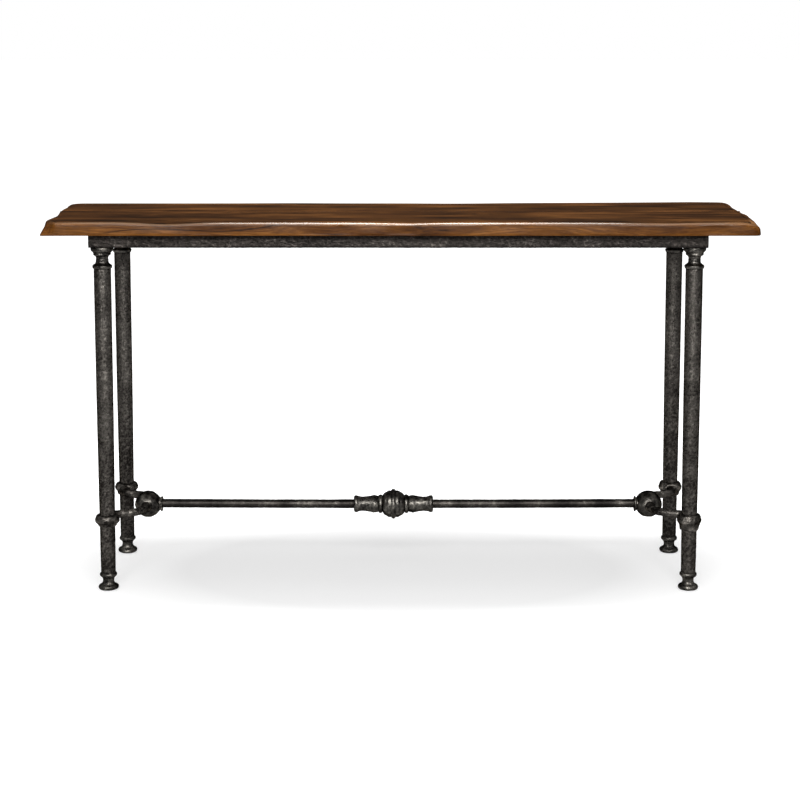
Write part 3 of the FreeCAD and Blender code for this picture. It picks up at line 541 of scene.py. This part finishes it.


def rail(node, lengthways, seed):
    """A rail's skin: the section carried straight from end to end, with a recess in each end for
    the plate welded into it."""
    low, high = where(node)
    size = high - low
    middle = (low + high) / 2
    across = 1 - lengthways
    section = tube_section(size[across] - RAIL_SLACK, size[2] - RAIL_SLACK, RAIL_CORNER, 2.0)
    half = size[lengthways] / 2
    rows = np.linspace(-half, half, int(size[lengthways] / 2.4))
    stations = np.concatenate([[RECESS - half, -half], rows, [half, half - RECESS]])
    mouths = [0, 1, -2, -1]
    shrink = np.ones(len(stations))
    shrink[mouths] = 0.86
    grid = np.zeros((len(stations), len(section), 3))
    grid[..., lengthways] = stations[:, None]
    sideways = section[:, 0] if lengthways == 0 else -section[:, 0]
    grid[..., across] = sideways * shrink[:, None]
    grid[..., 2] = section[:, 1] * shrink[:, None]
    pressed, worn = worked(grid + middle, PRESS_MARKS, seed)
    pressed[mouths] = (grid + middle)[mouths]
    pressed = np.clip(pressed, low, high)
    # painted shade under the boards' overhang: the rail's top is painted darker
    worn = worn - 1.2 * np.clip((pressed[..., 2] - high[2] + SHADE_DEPTH) / 3, 0, 1)
    skin(node + "_tube", pressed_steel, "hammered_steel", [node], (pressed, worn))


# each rail runs along the frame's axis 0 or 1
RAILS = {"rail_front": 0, "rail_rear": 0, "rail_left": 1, "rail_right": 1}
for number, (node, lengthways) in enumerate(RAILS.items()):
    rail(node, lengthways, 1000 + number)

# ---------------------------------------------------------------------------- end plates
# A steel plate is welded into each open end of the long rails and dressed flush, leaving a
# slight pillow and the trace of the weld round it.
PILLOW = [
    # share of the plate's outline, depth behind the rail's face
    (0.98, 2.6),
    (1.0, 0.9),
    (0.97, 0.5),
    (0.9, 0.35),
    (0.6, 0.25),
    (0.25, 0.2),
]
shares, depths = np.array(PILLOW).T
section = tube_section(45.6, 26.8, 2.5, 2.2)
plates = []
for across, along in CORNERS.values():
    low, high = where("rail_front" if along < 0 else "rail_rear")
    face = low[0] if across < 0 else high[0]
    grid = np.zeros((len(shares), len(section), 3))
    grid[..., 0] = face - across * depths[:, None]
    grid[..., 1] = (low[1] + high[1]) / 2 + across * section[:, 0] * shares[:, None]
    grid[..., 2] = (low[2] + high[2]) / 2 + section[:, 1] * shares[:, None]
    plates.append((grid, np.full(grid.shape[:2], 0.5)))
skin("rail_end_plates", pressed_steel, "hammered_steel", ["rail_end_caps"], *plates)

# ---------------------------------------------------------------------------- fasteners
# Tie rods, nuts, washers, weld nuts and screws are bright zinc-plated steel, and the socket
# bolts in the balls are black oxide. All are hidden or nearly so.


def plated(name, dark, light, roughness):
    """Machined steel with a thin coating: a fine cloudy tone and faint turning marks."""
    material, output, coordinates = finish(name)
    cloud = add(material, "TexNoise", {"Vector": coordinates, "Scale": 1000 / 6, "Detail": 4.0})
    colour = add(material, "ValToRGB", {"Fac": cloud.outputs["Fac"]}, [(0.3, dark), (0.7, light)])
    lathe = add(material, "TexNoise", {"Vector": coordinates, "Scale": 1000 / 0.8, "Detail": 1.0})
    bump = add(material, "Bump", {"Height": lathe.outputs["Fac"], "Distance": 0.03 * MM})
    shader = add(material, "BsdfPrincipled", {"Base Color": colour.outputs["Color"], "Metallic": 1.0,
                                              "Roughness": roughness, "Normal": bump.outputs["Normal"]})
    material.node_tree.links.new(shader.outputs["BSDF"], output.inputs["Surface"])
    return material


zinc_plate = plated("Zinc_plated_steel", "8e9296", "b4b8bb", 0.35)
black_oxide = plated("Black_oxide_steel", "18181a", "26262a", 0.4)
FASTENERS = {"leg_tie_rods": zinc_plate, "leg_washers": zinc_plate, "leg_nuts": zinc_plate,
             "rail_weld_nuts": zinc_plate, "top_screws": zinc_plate, "stretcher_bolts": black_oxide}
for node, coating in FASTENERS.items():
    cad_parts[node].data.materials.clear()
    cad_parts[node].data.materials.append(coating)

# ---------------------------------------------------------------------------- boards
# The top is two walnut boards, 28 mm thick, glued side by side. The long edges follow the tree,
# with the wane scraped to a soft slope, and the whole is oiled and waxed to a satin sheen.
THICKNESS = 28.0
PLAN_ZERO = np.array([-6.0, -16.5])     # where the boards' plan has its zero, in the frame
SEAM = 24.0                             # the glue line's place across, in that plan
SHORT, LONG = 44, 500                   # points along a board's ends and along its sides


def blend(first, last, part):
    """The point that lies the given part of the way from the first one to the last."""
    return (1 - part) * first + part * last


def through(knots, count):
    """A smooth line through evenly spaced knots, as count + 1 points: between two knots it is
    the cubic whose slope at each is that of the line joining the knots beside it."""
    knots = np.asarray(knots, float)
    padded = np.concatenate([2 * knots[:1] - knots[1:2], knots, 2 * knots[-1:] - knots[-2:-1]])
    place = np.linspace(0, len(knots) - 1, count + 1)
    index = np.minimum(place.astype(int), len(knots) - 2)
    part = (place - index).reshape(-1, *[1] * (knots.ndim - 1))
    before, first, last, after = (padded[index + n] for n in range(4))
    return first + 0.5 * part * (last - before + part * (
        2 * before - 5 * first + 4 * last - after + part * (3 * (first - last) + after - before)))


def outline(corners, cuts, strays, straight=(0, 0, 0, 0)):
    """A board's outline in plan, anticlockwise: each side strays outwards from the straight line
    between its corners by the given amounts. Each corner is rounded by a parabola over the cut
    lengths before and after it, drawn towards a straight cut by its share in straight. The sides
    are a short one and a long one, twice, each from the middle of its corner's rounding."""
    sides = []
    for number, stray in enumerate(strays):
        start, end = corners[number], corners[(number + 1) % 4]
        along = (end - start) / np.linalg.norm(end - start)
        out = np.array([along[1], -along[0]])
        knots = np.linspace(start, end, len(stray) + 2)
        knots[1:-1] += out * np.array(stray)[:, None]
        line = evenly(through(knots, 400), 1.0)
        run = np.concatenate([[0], np.linalg.norm(np.diff(line, axis=0), axis=1).cumsum()])
        keep = (run > cuts[number][1]) & (run < run[-1] - cuts[(number + 1) % 4][0])
        sides.append(line[keep])
    half = 12
    part = np.linspace(0, 1, 2 * half + 1)[:, None]
    bends = []
    for number, corner in enumerate(corners):
        before, after = sides[number - 1][-1], sides[number][0]
        curve = blend(blend(before, corner, part), blend(corner, after, part), part)
        bends.append(blend(curve, blend(before, after, part), straight[number]))
    finished = []
    for number, count in enumerate((SHORT, LONG, SHORT, LONG)):
        line = np.concatenate([bends[number][half:-1], sides[number],
                               bends[(number + 1) % 4][1:half + 1]])
        run = np.concatenate([[0], np.linalg.norm(np.diff(line, axis=0), axis=1).cumsum()])
        stops = np.linspace(0, run[-1], count + 1)[:-1]
        finished.append(np.stack([np.interp(stops, run, line[:, n]) for n in (0, 1)], axis=1))
    return np.concatenate(finished)


EDGE = evenly([
    # inwards from the outline, height over the top face
    (5.0, 0),
    (3.8, -0.3),
    (0.8, -2.6),                # the bevel that the scraper left
    (0, -3.8),
    (0, 1.6 - THICKNESS),
    (0.5, 0.4 - THICKNESS),
    (1.6, -THICKNESS),
], 0.9)
EDGE[1:-1] = (EDGE[:-2] + 2 * EDGE[1:-1] + EDGE[2:]) / 4
BEVEL = (EDGE[:, 1] > -4.6) & (EDGE[:, 1] < -0.1)
GLUED = 0.08                    # share of the edge's shaping that a glued edge gets


def rounding(x):
    """The radius that the top's edge was rounded to: soft at the right end, crisp elsewhere."""
    return 1.0 + 13 * np.clip((x - 690) / 70, 0, 1)


def front_dip(x, y):
    """How far the front arris falls below the top: hollows that wore in where branches grew out."""
    hollow = (3.6 * hump(x, -485, 60) + 1.6 * hump(x, 20, 60) + 1.8 * hump(x, 570, 90)
              + 9 * hump(x, 778, 30))
    return hollow * np.clip(-(y + 150) / 40, 0, 1)


def edge_ripple(points):
    """The scraped surface of a live edge: long shallow swells and short flat scallops."""
    return (1.1 * swells(points * (1, 1, 1.6), 60, 41) + 0.3 * swells(points * (1, 1, 0.7), 18, 42)
            + 0.2 * dents(points * (0.6, 1, 0.8), 14, 43))


def edge_rings(lower, upper, top):
    """Rings of points round a board's edge: each lies between the upper and lower outline by its
    depth, drawn inwards by the edge's profile and by a quarter circle of the rounding's radius,
    and rippled along its upright face. Also returns how far down each ring is, from 0 to 1, and
    how far each place round it is the tree's own edge."""
    share = np.clip(-EDGE[:, 1] / THICKNESS, 0, 1)[:, None]
    ahead = np.roll(upper, -1, axis=0) - np.roll(upper, 1, axis=0)
    inside = np.stack([-ahead[:, 1], ahead[:, 0]], axis=1)
    inside /= np.linalg.norm(inside, axis=1, keepdims=True)
    natural = np.where(np.abs(lower[:, 1] - SEAM) < 0.4, GLUED, 1.0)
    natural = (np.roll(natural, 1) + natural + np.roll(natural, -1)) / 3
    radius = rounding(lower[:, 0])
    depth = np.clip(-EDGE[:, 1, None], 0, radius)
    rounded = radius - np.sqrt(radius ** 2 - (radius - depth) ** 2)
    plan = blend(upper, lower, share[..., None] ** 0.8)
    plan = plan + inside * ((EDGE[:, 0, None] + rounded) * natural)[..., None]
    rings = np.zeros((*plan.shape[:2], 3))
    rings[..., :2] = plan + PLAN_ZERO
    rings[..., 2] = top + EDGE[:, 1, None] - front_dip(lower[:, 0], lower[:, 1]) * (1 - share) ** 2
    upright = np.clip(7 * share - 1, 0, 1) * np.clip(6 - 6 * share, 0, 1) * natural
    rings[..., :2] += inside * (upright * edge_ripple(rings))[..., None]
    return rings, share, natural


def patch(border, down, right):
    """The inside of a grid whose border is given: the blend of its first and last row and that of
    its first and last column, added, less the blend of its four corners."""
    rows = blend(border[:1], border[-1:], down)
    columns = blend(border[:, :1], border[:, -1:], right)
    return rows + columns - blend(rows[:, :1], rows[:, -1:], right)


FALL = 14                       # the hollows in the edge run out into the top over this length


def top_face(face, front, top):
    """The top's patch, lowered towards the front edge's hollows and planed in slight waves: the
    fall dies away as e to the power of minus the distance from the edge in units of FALL."""
    reach = np.linalg.norm(face[..., :2] - front[..., :2], axis=-1)
    lowered = (top - front[..., 2]) * np.exp(-reach / FALL)
    wave = 0.12 * swells(face * (0.4, 1, 1), 45, 31) - 0.15
    wave[[0, -1]] = 0
    wave[:, [0, -1]] = 0
    face[..., 2] = top - lowered + wave


PIN_KNOTS = [(-381, -25), (-351, -25), (-325, -35), (-296, -33), (-235, -30), (161, -50), (197, -58)]


def dark_marks(points):
    """A dark winter ring that rises, sinks and rises again along the front edge's left part, and
    a few pin knots on the top. The ring is a hump about a smooth line through evenly spaced
    heights, and a knot is one about its middle."""
    along = np.linspace(-640, -240, 97)
    height = np.interp(points[:, 0], along, through([792, 800, 802.5, 799.5, 797, 803, 814], 96))
    ends = np.clip((points[:, 0] + 650) / 40, 0, 1) * np.clip((-225 - points[:, 0]) / 40, 0, 1)
    marks = hump(points[:, 2], height, 1.0) * ends * (points[:, 1] < -150)
    for x, y in PIN_KNOTS:
        near = hump(points[:, 0], x, 4.5) * hump(points[:, 1], y, 8)
        marks = np.maximum(marks, 0.8 * near * (points[:, 2] > 810))
    return marks


def gloss_and_highlight_share(x):
    """How strongly the top's front edge gets its painted highlight, a paler colour, and its more
    polished wax coat: a smooth line through evenly spaced shares from the left end to the right one."""
    shares = [0, 0.5, 0.5, 0.4, 0.5, 0.6, 0.85, 1, 1, 1, 0.65, 0.5, 0.4, 0.5, 0.5, 0.6]
    return np.interp(x, np.linspace(-765, 765, 151), np.clip(through(shares, 150), 0, 1))


def board(node, name, material, lower, upper):
    """Makes a board's closed skin: the rings round its edge, with a patch that closes the first
    one as its top and one that closes the last as its bottom."""
    low, high = where(node)
    rings, share, natural = edge_rings(lower, upper, high[2])
    rings[..., 2] = np.clip(rings[..., 2], low[2], high[2])
    levels, ring_size = rings.shape[:2]
    index = np.arange(levels * ring_size).reshape(levels, ring_size)
    after = np.roll(index, -1, axis=1)
    faces = np.stack([index[:-1], index[1:], after[1:], after[:-1]], axis=-1).reshape(-1, 4).tolist()
    border = np.zeros((SHORT + 1, LONG + 1), int)
    border[:, 0] = np.arange(SHORT + 1)
    border[-1] = SHORT + np.arange(LONG + 1)
    border[::-1, -1] = SHORT + LONG + np.arange(SHORT + 1)
    border[0, ::-1] = (2 * SHORT + LONG + np.arange(LONG + 1)) % ring_size
    down = np.linspace(0, 1, SHORT + 1)[:, None, None]
    right = np.linspace(0, 1, LONG + 1)[None, :, None]
    places, first = [rings.reshape(-1, 3)], levels * ring_size
    for level, order in ((0, (0, 1, 2, 3)), (levels - 1, (3, 2, 1, 0))):
        edge = rings[level][border]
        face = patch(edge, down, right)
        if level == 0:
            top_face(face, edge[-1:], high[2])
        inner = face[1:-1, 1:-1].reshape(-1, 3)
        number = border + level * ring_size
        number[1:-1, 1:-1] = first + np.arange(len(inner)).reshape(SHORT - 1, LONG - 1)
        first += len(inner)
        places.append(inner)
        corners = [number[:-1, :-1], number[1:, :-1], number[1:, 1:], number[:-1, 1:]]
        faces += np.stack(corners, axis=-1).reshape(-1, 4)[:, order].tolist()
    places = np.concatenate(places)
    live, rubbed = np.zeros((2, len(places)))
    live[:index.size] = (np.clip(share * 9, 0, 1) * natural).ravel()
    # painted highlight and polished wax on the front bevel, in their share along the edge
    front = BEVEL[:, None] * (1 - share) * natural * (rings[..., 1] < -165)
    rubbed[:index.size] = (front * gloss_and_highlight_share(rings[..., 0])).ravel()
    solid(name, material, "walnut", [node], np.clip(places, low, high), faces, live=live,
          dark_mark=dark_marks(places), rubbed=rubbed)


def walnut(name, shift):
    """Black walnut, oiled: heartwood from chocolate to black-brown in long streaks, lighter
    reddish sapwood along the live edge, fine open pores, and a satin wax over it all. The
    streaks are about 300 by 35 mm, the lines in them 160 by 2.4 mm, and the pores 22 by 1.1 mm,
    coarser than real ones so as to show."""
    material, output, coordinates = finish(name)
    own = add(material, "Mapping", {"Vector": coordinates, "Location": shift}).outputs["Vector"]
    slow = add(material, "Mapping", {"Vector": own, "Scale": (1.1, 9, 9)}).outputs["Vector"]
    bend = add(material, "TexNoise", {"Vector": slow, "Scale": 2.0, "Detail": 2.0})
    bent = add(material, "MixRGB", {"Fac": 0.06, "Color1": own, "Color2": bend.outputs["Color"]},
               blend_type="ADD").outputs["Color"]
    long = add(material, "Mapping", {"Vector": bent, "Scale": (1.3, 11, 11)}).outputs["Vector"]
    streaks = add(material, "TexNoise", {"Vector": long, "Scale": 2.6, "Detail": 7.0,
                                         "Roughness": 0.66}).outputs["Fac"]
    thin = add(material, "Mapping", {"Vector": bent, "Scale": (4.0, 260, 260)}).outputs["Vector"]
    lines = add(material, "TexNoise", {"Vector": thin, "Scale": 1.6, "Detail": 4.0,
                                       "Roughness": 0.6}).outputs["Fac"]
    pore = add(material, "Mapping", {"Vector": own, "Scale": (45, 900, 900)}).outputs["Vector"]
    pores = add(material, "TexNoise", {"Vector": pore, "Scale": 1.0, "Detail": 2.0}).outputs["Fac"]
    figure = add(material, "Math", {0: streaks, 1: 0.64}, operation="MULTIPLY").outputs[0]
    figure = add(material, "Math", {0: lines, 1: 0.36, 2: figure}, operation="MULTIPLY_ADD").outputs[0]
    heart = add(material, "ValToRGB", {"Fac": figure},
                [(0.41, "140a04"), (0.6, "5a391b"), (0.47, "281607"), (0.53, "3b230e")])
    sap = add(material, "ValToRGB", {"Fac": figure},
              [(0.38, "271506"), (0.62, "6c441c"), (0.46, "42250c"), (0.54, "563413")])
    live = add(material, "Attribute", attribute_name="live").outputs["Fac"]
    colour = add(material, "MixRGB", {"Fac": live, "Color1": heart.outputs["Color"],
                                      "Color2": sap.outputs["Color"]}).outputs["Color"]
    # open pores and dark marks sink into the colour
    holes = add(material, "MapRange", {"Value": pores, "From Min": 0.3, "From Max": 0.42,
                                       "To Min": 0.55, "To Max": 1.0}).outputs["Result"]
    streak = add(material, "Attribute", attribute_name="dark_mark").outputs["Fac"]
    dark = add(material, "MapRange", {"Value": streak, "To Min": 1.0, "To Max": 0.1}).outputs["Result"]
    dark = add(material, "Math", {0: dark, 1: holes}, operation="MULTIPLY").outputs[0]
    colour = add(material, "MixRGB", {"Fac": 1.0, "Color1": colour, "Color2": dark},
                 blend_type="MULTIPLY").outputs["Color"]
    gloss = add(material, "MapRange", {"Value": figure, "From Min": 0.35, "From Max": 0.65,
                                       "To Min": 0.38, "To Max": 0.28}).outputs["Result"]
    relief = add(material, "Math", {0: lines, 1: pores}, operation="ADD").outputs[0]
    bump = add(material, "Bump", {"Height": relief, "Distance": 0.04 * MM, "Strength": 0.6})
    # along the front bevel the wood is painted paler as a painted highlight, under a harder polished
    # wax coat
    rubbed = add(material, "Attribute", attribute_name="rubbed").outputs["Fac"]
    painted_highlight = add(material, "Math", {0: rubbed, 1: 0.22}, operation="MULTIPLY").outputs[0]
    colour = add(material, "MixRGB", {"Fac": painted_highlight, "Color1": colour,
                                      "Color2": linear("b98f66")}).outputs["Color"]
    shader = add(material, "BsdfPrincipled", {
        "Base Color": colour, "Roughness": gloss, "Normal": bump.outputs["Normal"],
        "IOR": 1.45, "Specular IOR Level": 0.06, "Coat Weight": rubbed, "Coat Roughness": 0.16})
    material.node_tree.links.new(shader.outputs["BSDF"], output.inputs["Surface"])
    return material


glue_left, glue_right = np.array([-757.0, SEAM]), np.array([766.0, SEAM])
front_left, front_right = np.array([-755.0, -217.0]), np.array([764.0, -216.0])
rear_right, rear_left = np.array([777.0, 252.0]), np.array([-763.0, 212.0])
SHARP = (0.4, 0.4)
FRONT_STRAYS = [[-5, -8, -5, -1.5], [-1, 2, -1, -2, 0, 0, 2, -1, -1.5, 2, 0.5], [0, 1.5, 4, 6.5], []]
REAR_STRAYS = [[2, -0.5, 1.5], [], [1.5, -1, 1], [-7, -13, -16, -19, -27, -19, -15, -7, -8, -6, -2]]

lower = outline([glue_left, front_left, front_right, glue_right],
                [SHARP, (7, 7), (16, 16), SHARP], FRONT_STRAYS)
upper = outline([glue_left + (2.5, 0), front_left + (3.5, 4.0), front_right + (-1.5, 3.0),
                 glue_right + (-1.5, 0)],
                [SHARP, (60, 28), (24, 24), SHARP], FRONT_STRAYS, (0, 0.8, 0, 0))
front_walnut = walnut("Oiled_walnut_front_board", (-0.24, 0.0, 0.02))
board("top_board_front", "front_walnut_board", front_walnut, lower, upper)

lower = outline([rear_left, glue_left, glue_right, rear_right],
                [(30, 30), SHARP, SHARP, (30, 30)], REAR_STRAYS)
upper = outline([rear_left + (4, -5), glue_left + (2.5, 0), glue_right + (-1.5, 0),
                 rear_right + (-2, -5)], [(34, 34), SHARP, SHARP, (34, 36)], REAR_STRAYS)
rear_walnut = walnut("Oiled_walnut_rear_board", (1.27, 0.35, 0.11))
board("top_board_rear", "rear_walnut_board", rear_walnut, lower, upper)

# ---------------------------------------------------------------------------- studio
# A pale seamless floor and surround. A broad key light stands in front and a little above, a
# strip hangs over the table for the sheen along the top's edge, and a ceiling box fills in. The
# floor glows to the camera only, less so in an oval under the table, which is painted shade, and
# the surround that the iron mirrors is a dim dome, brightest above.
FAR = 60
floor_mesh = bpy.data.meshes.new("studio_floor")
floor_mesh.from_pydata([(-FAR, -FAR, 0), (FAR, -FAR, 0), (FAR, FAR, 0), (-FAR, FAR, 0)], [],
                       [(0, 1, 2, 3)])
floor = bpy.data.objects.new("studio_floor", floor_mesh)
bpy.context.scene.collection.objects.link(floor)
paper, output, coordinates = finish("Matt_white_paper")
fibre = add(paper, "TexNoise", {"Vector": coordinates, "Scale": 1000 / 3, "Detail": 2.0})
colour = add(paper, "ValToRGB", {"Fac": fibre.outputs["Fac"]}, [(0.3, "bababa"), (0.7, "bebebe")])
seen = add(paper, "LightPath").outputs["Is Camera Ray"]
oval = add(paper, "Mapping", {"Vector": coordinates, "Scale": (1.45, 2.3, 1)}).outputs["Vector"]
away = add(paper, "VectorMath", {0: oval}, operation="LENGTH").outputs["Value"]
# painted shade: the glow is lower in an oval under the table
clear = add(paper, "MapRange", {"Value": away, "From Min": 0.7, "From Max": 1.8, "To Min": 0.38,
                                "To Max": 1.0}).outputs["Result"]
glow = add(paper, "Math", {0: seen, 1: clear}, operation="MULTIPLY").outputs[0]
shader = add(paper, "BsdfPrincipled", {"Base Color": colour.outputs["Color"], "Roughness": 0.9,
                                       "Specular IOR Level": 0.0, "Emission Strength": glow,
                                       "Emission Color": (1, 1, 1, 1)})
paper.node_tree.links.new(shader.outputs["BSDF"], output.inputs["Surface"])
floor_mesh.materials.append(paper)

scene = bpy.context.scene
world = bpy.data.worlds.new("Pale_surround")
world.use_nodes = True
surround = world.node_tree.nodes["Background"]
surround.inputs["Color"].default_value = (1, 1, 1, 1)
seen = add(world, "LightPath").outputs["Is Camera Ray"]
direction = add(world, "TexCoord").outputs["Generated"]
height = add(world, "VectorMath", {0: direction, 1: (0, -0.35, 0.94)},
             operation="DOT_PRODUCT").outputs["Value"]
dome = add(world, "MapRange", {"Value": height, "From Min": 0.22, "From Max": 0.9, "To Min": 0.035,
                               "To Max": 0.8}).outputs["Result"]
level = add(world, "MapRange", {"Value": seen, "To Min": dome, "To Max": 1.0})
world.node_tree.links.new(level.outputs["Result"], surround.inputs["Strength"])
scene.world = world
scene.view_settings.view_transform = "Standard"


def lamp(name, size, power, place, target, spread=180):
    """A rectangular soft light at a place, turned to face a target, all in metres. Its grid
    keeps the light within the spread in degrees."""
    light = bpy.data.lights.new(name, "AREA")
    light.shape = "RECTANGLE"
    light.size, light.size_y = size
    light.energy = power
    light.spread = np.radians(spread)
    body = bpy.data.objects.new(name, light)
    scene.collection.objects.link(body)
    body.location = place
    facing = np.array(target) - np.array(place)
    body.rotation_euler = Vector(facing).to_track_quat("-Z", "Y").to_euler()


# name, size, power in watts, place, target, spread
lamp("key_softbox", (3.2, 1.1), 39, (-0.1, -3.2, 1.95), (0, 0, 0.8), 80)
lamp("overhead_strip", (1.2, 0.4), 44, (0.06, 0.02, 2.3), (0.06, 0, 0.8))
lamp("ceiling_softbox", (3.2, 1.8), 34, (0, 0, 3.4), (0, 0, 0))

# The camera stands four metres in front, a little above the top, and looks slightly down.
camera = bpy.data.objects.new("camera", bpy.data.cameras.new("camera"))
scene.collection.objects.link(camera)
camera.location = (-0.006, -4.0095, 1.226)
camera.rotation_euler = (np.radians(90 - 7.128), 0, 0)
camera.data.lens = 81.52
camera.data.shift_x = 0.0021
camera.data.shift_y = -0.185
camera.data.dof.use_dof = False
scene.camera = camera
